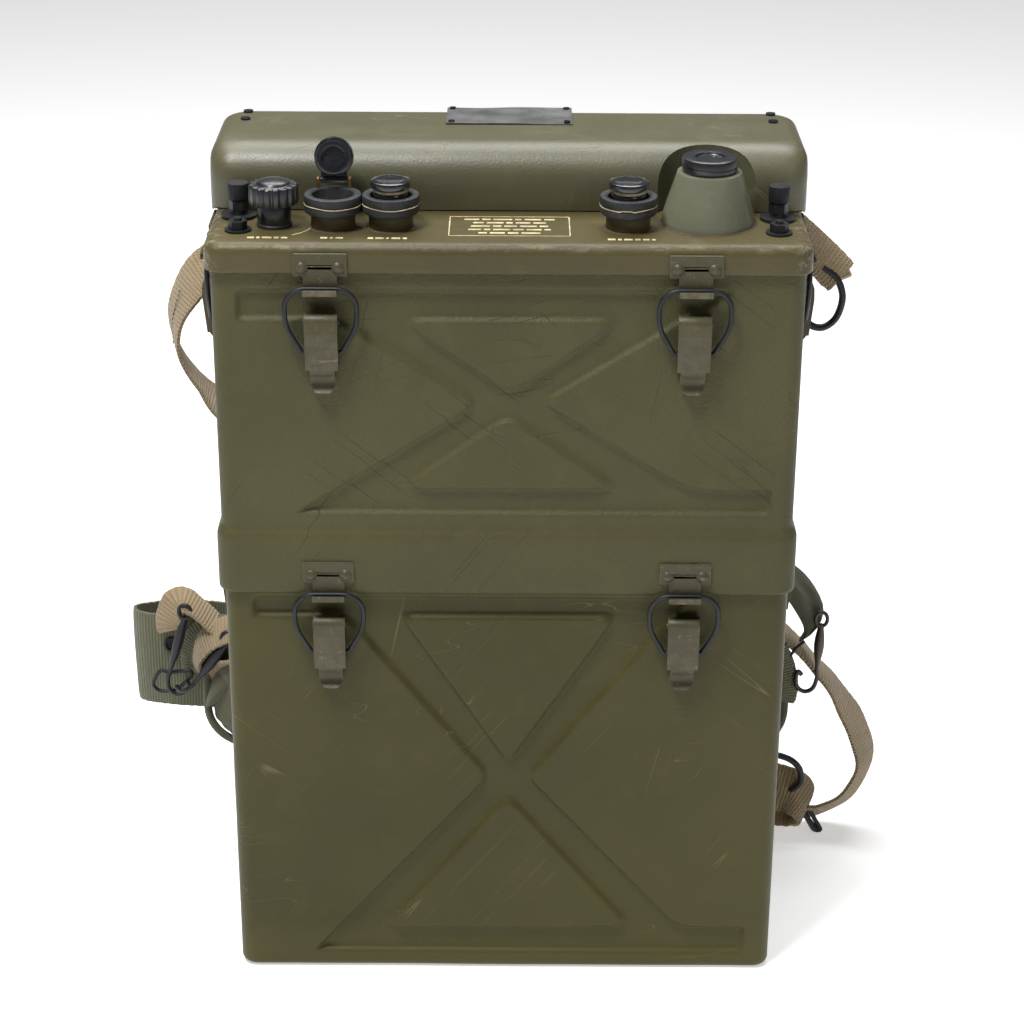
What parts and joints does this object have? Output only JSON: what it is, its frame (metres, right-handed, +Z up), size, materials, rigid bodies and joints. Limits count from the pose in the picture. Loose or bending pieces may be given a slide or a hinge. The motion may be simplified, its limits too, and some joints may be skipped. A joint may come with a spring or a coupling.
{
  "type": "backpack radio transceiver",
  "caption": "Olive metal backpack radio set: battery case below, radio case above, control panel with knobs, capped jacks and antenna base, hinged tuning cover, draw latches and web harness.",
  "frame": {"origin": "centre of the battery case's bottom face, on the surface it stands on", "axes": "+Z up along the case, the control side and the front latches face -Y, +X to the right seen from the front"},
  "size_m": [0.426, 0.1879, 0.4394],
  "materials": {
    "olive_paint": "semi-gloss olive drab enamel over steel, chipped at the edges",
    "olive_paint_textured": "fine wrinkle olive drab enamel",
    "cover_paint": "semi-gloss olive drab, slightly greyer",
    "black_bakelite": "moulded, satin",
    "black_rubber": "matt, weathered",
    "cream_rubber": "matt",
    "bare_aluminium": "brushed, dulled",
    "plated_steel": "dull plating",
    "black_steel": "blackened, worn",
    "insulator_enamel": "gloss olive",
    "valve_glass": "clear glass",
    "window_glass": "clear",
    "dial_white": "matt with black numbers",
    "battery_card": "waxed card",
    "olive_webbing": "ribbed cotton webbing",
    "olive_canvas": "cotton duck",
    "tan_webbing": "tan cotton webbing, frayed"
  },
  "bodies": {
    "root": {"battery_case": "olive_paint", "upper_case": "olive_paint_textured", "control_panel": "olive_paint", "case_gaskets": "black_rubber", "cover_hinge": "olive_paint", "cover_hinge_pins": "plated_steel", "rotary_controls": "black_bakelite", "jack_collars": "olive_paint", "jack_boots": "black_rubber", "antenna_insulator": "insulator_enamel", "antenna_cap": "black_bakelite", "antenna_socket": "plated_steel", "binding_posts": "black_steel", "dial_window": "window_glass", "chassis": "plated_steel", "valves": "valve_glass", "if_cans": "bare_aluminium", "capacitor_frame": "bare_aluminium", "battery_pack": "battery_card", "latch_hooks": "olive_paint", "latch_rivets": "olive_paint", "latch_brackets": "olive_paint", "back_pad": "olive_canvas", "waist_belt": "olive_webbing", "harness_straps": "tan_webbing", "harness_hardware": "black_steel"},
    "cover": {"tuning_cover": "cover_paint", "cover_screws": "black_steel", "nameplate": "bare_aluminium"},
    "volume": {"volume_knob": "black_bakelite"},
    "mic_lid": {"mic_cap": "black_rubber", "mic_cap_seal": "cream_rubber"},
    "phone_lid": {"phone_cap": "black_rubber", "phone_cap_seal": "cream_rubber"},
    "aux_lid": {"aux_cap": "black_rubber", "aux_cap_seal": "cream_rubber"},
    "left_nut": {"left_thumb_nut": "black_steel"},
    "right_nut": {"right_thumb_nut": "black_steel"},
    "tuner": {"tuning_knob": "black_bakelite", "tuning_shaft": "plated_steel"},
    "dial": {"tuning_dial": "dial_white", "capacitor_rotor": "bare_aluminium"},
    "trim": {"antenna_trim_knob": "black_bakelite"},
    "squelch": {"squelch_knob": "black_bakelite"},
    "upper_latch_1": {"upper_lever_1": "olive_paint"},
    "upper_loop_1": {"upper_bail_1": "black_steel"},
    "upper_latch_2": {"upper_lever_2": "olive_paint"},
    "upper_loop_2": {"upper_bail_2": "black_steel"},
    "upper_latch_3": {"upper_lever_3": "olive_paint"},
    "upper_loop_3": {"upper_bail_3": "black_steel"},
    "upper_latch_4": {"upper_lever_4": "olive_paint"},
    "upper_loop_4": {"upper_bail_4": "black_steel"},
    "lower_latch_1": {"lower_lever_1": "olive_paint"},
    "lower_loop_1": {"lower_bail_1": "black_steel"},
    "lower_latch_2": {"lower_lever_2": "olive_paint"},
    "lower_loop_2": {"lower_bail_2": "black_steel"},
    "lower_latch_3": {"lower_lever_3": "olive_paint"},
    "lower_loop_3": {"lower_bail_3": "black_steel"},
    "lower_latch_4": {"lower_lever_4": "olive_paint"},
    "lower_loop_4": {"lower_bail_4": "black_steel"}
  },
  "joints": [
    {"name": "cover_hinge", "type": "hinge", "parent": "root", "child": "cover", "pos_m": [0, 0.0704, 0.4026], "axis": [-1, 0, 0], "range_deg": [0, 105]},
    {"name": "volume_turn", "type": "hinge", "parent": "root", "child": "volume", "pos_m": [-0.1108, -0.0378, 0.411], "axis": [0, 0, -1], "range_deg": [0, 300]},
    {"name": "mic_cap_hinge", "type": "hinge", "parent": "root", "child": "mic_lid", "pos_m": [-0.0829, -0.0277, 0.4195], "axis": [1, 0, 0], "range_deg": [0, 100]},
    {"name": "phone_cap_hinge", "type": "hinge", "parent": "root", "child": "phone_lid", "pos_m": [-0.0556, -0.0277, 0.4195], "axis": [-1, 0, 0], "range_deg": [0, 100]},
    {"name": "aux_cap_hinge", "type": "hinge", "parent": "root", "child": "aux_lid", "pos_m": [0.0565, -0.0277, 0.4195], "axis": [-1, 0, 0], "range_deg": [0, 100]},
    {"name": "left_nut_turn", "type": "hinge", "parent": "root", "child": "left_nut", "pos_m": [-0.129, -0.0236, 0.412], "axis": [0, 0, 1], "range_deg": [0, 720]},
    {"name": "right_nut_turn", "type": "hinge", "parent": "root", "child": "right_nut", "pos_m": [0.129, -0.0236, 0.412], "axis": [0, 0, 1], "range_deg": [0, 720]},
    {"name": "tuning_turn", "type": "hinge", "parent": "root", "child": "tuner", "pos_m": [0, 0.022, 0.41], "axis": [0, 0, -1], "range_deg": [-450, 450]},
    {"name": "dial_turn", "type": "hinge", "parent": "root", "child": "dial", "pos_m": [-0.045, 0.022, 0.394], "axis": [0, 0, -1], "range_deg": [-90, 90]},
    {"name": "trim_turn", "type": "hinge", "parent": "root", "child": "trim", "pos_m": [0.095, 0.032, 0.41], "axis": [0, 0, -1], "range_deg": [-90, 90]},
    {"name": "squelch_turn", "type": "hinge", "parent": "root", "child": "squelch", "pos_m": [-0.112, 0.022, 0.41], "axis": [0, 0, -1], "range_deg": [0, 300]},
    {"name": "upper_lever_1_hinge", "type": "hinge", "parent": "root", "child": "upper_latch_1", "pos_m": [-0.0875, -0.0696, 0.363], "axis": [-1, 0, 0], "range_deg": [0, 60]},
    {"name": "upper_bail_1_hinge", "type": "hinge", "parent": "upper_latch_1", "child": "upper_loop_1", "pos_m": [-0.0875, -0.07, 0.348], "axis": [-1, 0, 0], "range_deg": [-39, 0]},
    {"name": "upper_lever_2_hinge", "type": "hinge", "parent": "root", "child": "upper_latch_2", "pos_m": [0.0875, -0.0696, 0.363], "axis": [-1, 0, 0], "range_deg": [0, 60]},
    {"name": "upper_bail_2_hinge", "type": "hinge", "parent": "upper_latch_2", "child": "upper_loop_2", "pos_m": [0.0875, -0.07, 0.348], "axis": [-1, 0, 0], "range_deg": [-39, 0]},
    {"name": "upper_lever_3_hinge", "type": "hinge", "parent": "root", "child": "upper_latch_3", "pos_m": [-0.1446, -0.012, 0.363], "axis": [0, 1, 0], "range_deg": [0, 60]},
    {"name": "upper_bail_3_hinge", "type": "hinge", "parent": "upper_latch_3", "child": "upper_loop_3", "pos_m": [-0.145, -0.012, 0.348], "axis": [0, 1, 0], "range_deg": [-39, 0]},
    {"name": "upper_lever_4_hinge", "type": "hinge", "parent": "root", "child": "upper_latch_4", "pos_m": [0.1446, -0.012, 0.363], "axis": [0, -1, 0], "range_deg": [0, 60]},
    {"name": "upper_bail_4_hinge", "type": "hinge", "parent": "upper_latch_4", "child": "upper_loop_4", "pos_m": [0.145, -0.012, 0.348], "axis": [0, -1, 0], "range_deg": [-39, 0]},
    {"name": "lower_lever_1_hinge", "type": "hinge", "parent": "root", "child": "lower_latch_1", "pos_m": [-0.0875, -0.0691, 0.205], "axis": [-1, 0, 0], "range_deg": [0, 60]},
    {"name": "lower_bail_1_hinge", "type": "hinge", "parent": "lower_latch_1", "child": "lower_loop_1", "pos_m": [-0.0875, -0.0695, 0.19], "axis": [-1, 0, 0], "range_deg": [-39, 0]},
    {"name": "lower_lever_2_hinge", "type": "hinge", "parent": "root", "child": "lower_latch_2", "pos_m": [0.0875, -0.0691, 0.205], "axis": [-1, 0, 0], "range_deg": [0, 60]},
    {"name": "lower_bail_2_hinge", "type": "hinge", "parent": "lower_latch_2", "child": "lower_loop_2", "pos_m": [0.0875, -0.0695, 0.19], "axis": [-1, 0, 0], "range_deg": [-39, 0]},
    {"name": "lower_lever_3_hinge", "type": "hinge", "parent": "root", "child": "lower_latch_3", "pos_m": [-0.1441, 0.005, 0.205], "axis": [0, 1, 0], "range_deg": [0, 60]},
    {"name": "lower_bail_3_hinge", "type": "hinge", "parent": "lower_latch_3", "child": "lower_loop_3", "pos_m": [-0.1445, 0.005, 0.19], "axis": [0, 1, 0], "range_deg": [-39, 0]},
    {"name": "lower_lever_4_hinge", "type": "hinge", "parent": "root", "child": "lower_latch_4", "pos_m": [0.1441, 0.005, 0.205], "axis": [0, -1, 0], "range_deg": [0, 60]},
    {"name": "lower_bail_4_hinge", "type": "hinge", "parent": "lower_latch_4", "child": "lower_loop_4", "pos_m": [0.1445, 0.005, 0.19], "axis": [0, -1, 0], "range_deg": [-39, 0]}
  ],
  "couplings": [
    {"joint": "dial_turn", "follows": "tuning_turn", "ratio": -0.2},
    {"joint": "upper_bail_1_hinge", "follows": "upper_lever_1_hinge", "ratio": -0.64},
    {"joint": "upper_bail_2_hinge", "follows": "upper_lever_2_hinge", "ratio": -0.64},
    {"joint": "upper_bail_3_hinge", "follows": "upper_lever_3_hinge", "ratio": -0.64},
    {"joint": "upper_bail_4_hinge", "follows": "upper_lever_4_hinge", "ratio": -0.64},
    {"joint": "lower_bail_1_hinge", "follows": "lower_lever_1_hinge", "ratio": -0.64},
    {"joint": "lower_bail_2_hinge", "follows": "lower_lever_2_hinge", "ratio": -0.64},
    {"joint": "lower_bail_3_hinge", "follows": "lower_lever_3_hinge", "ratio": -0.64},
    {"joint": "lower_bail_4_hinge", "follows": "lower_lever_4_hinge", "ratio": -0.64}
  ]
}
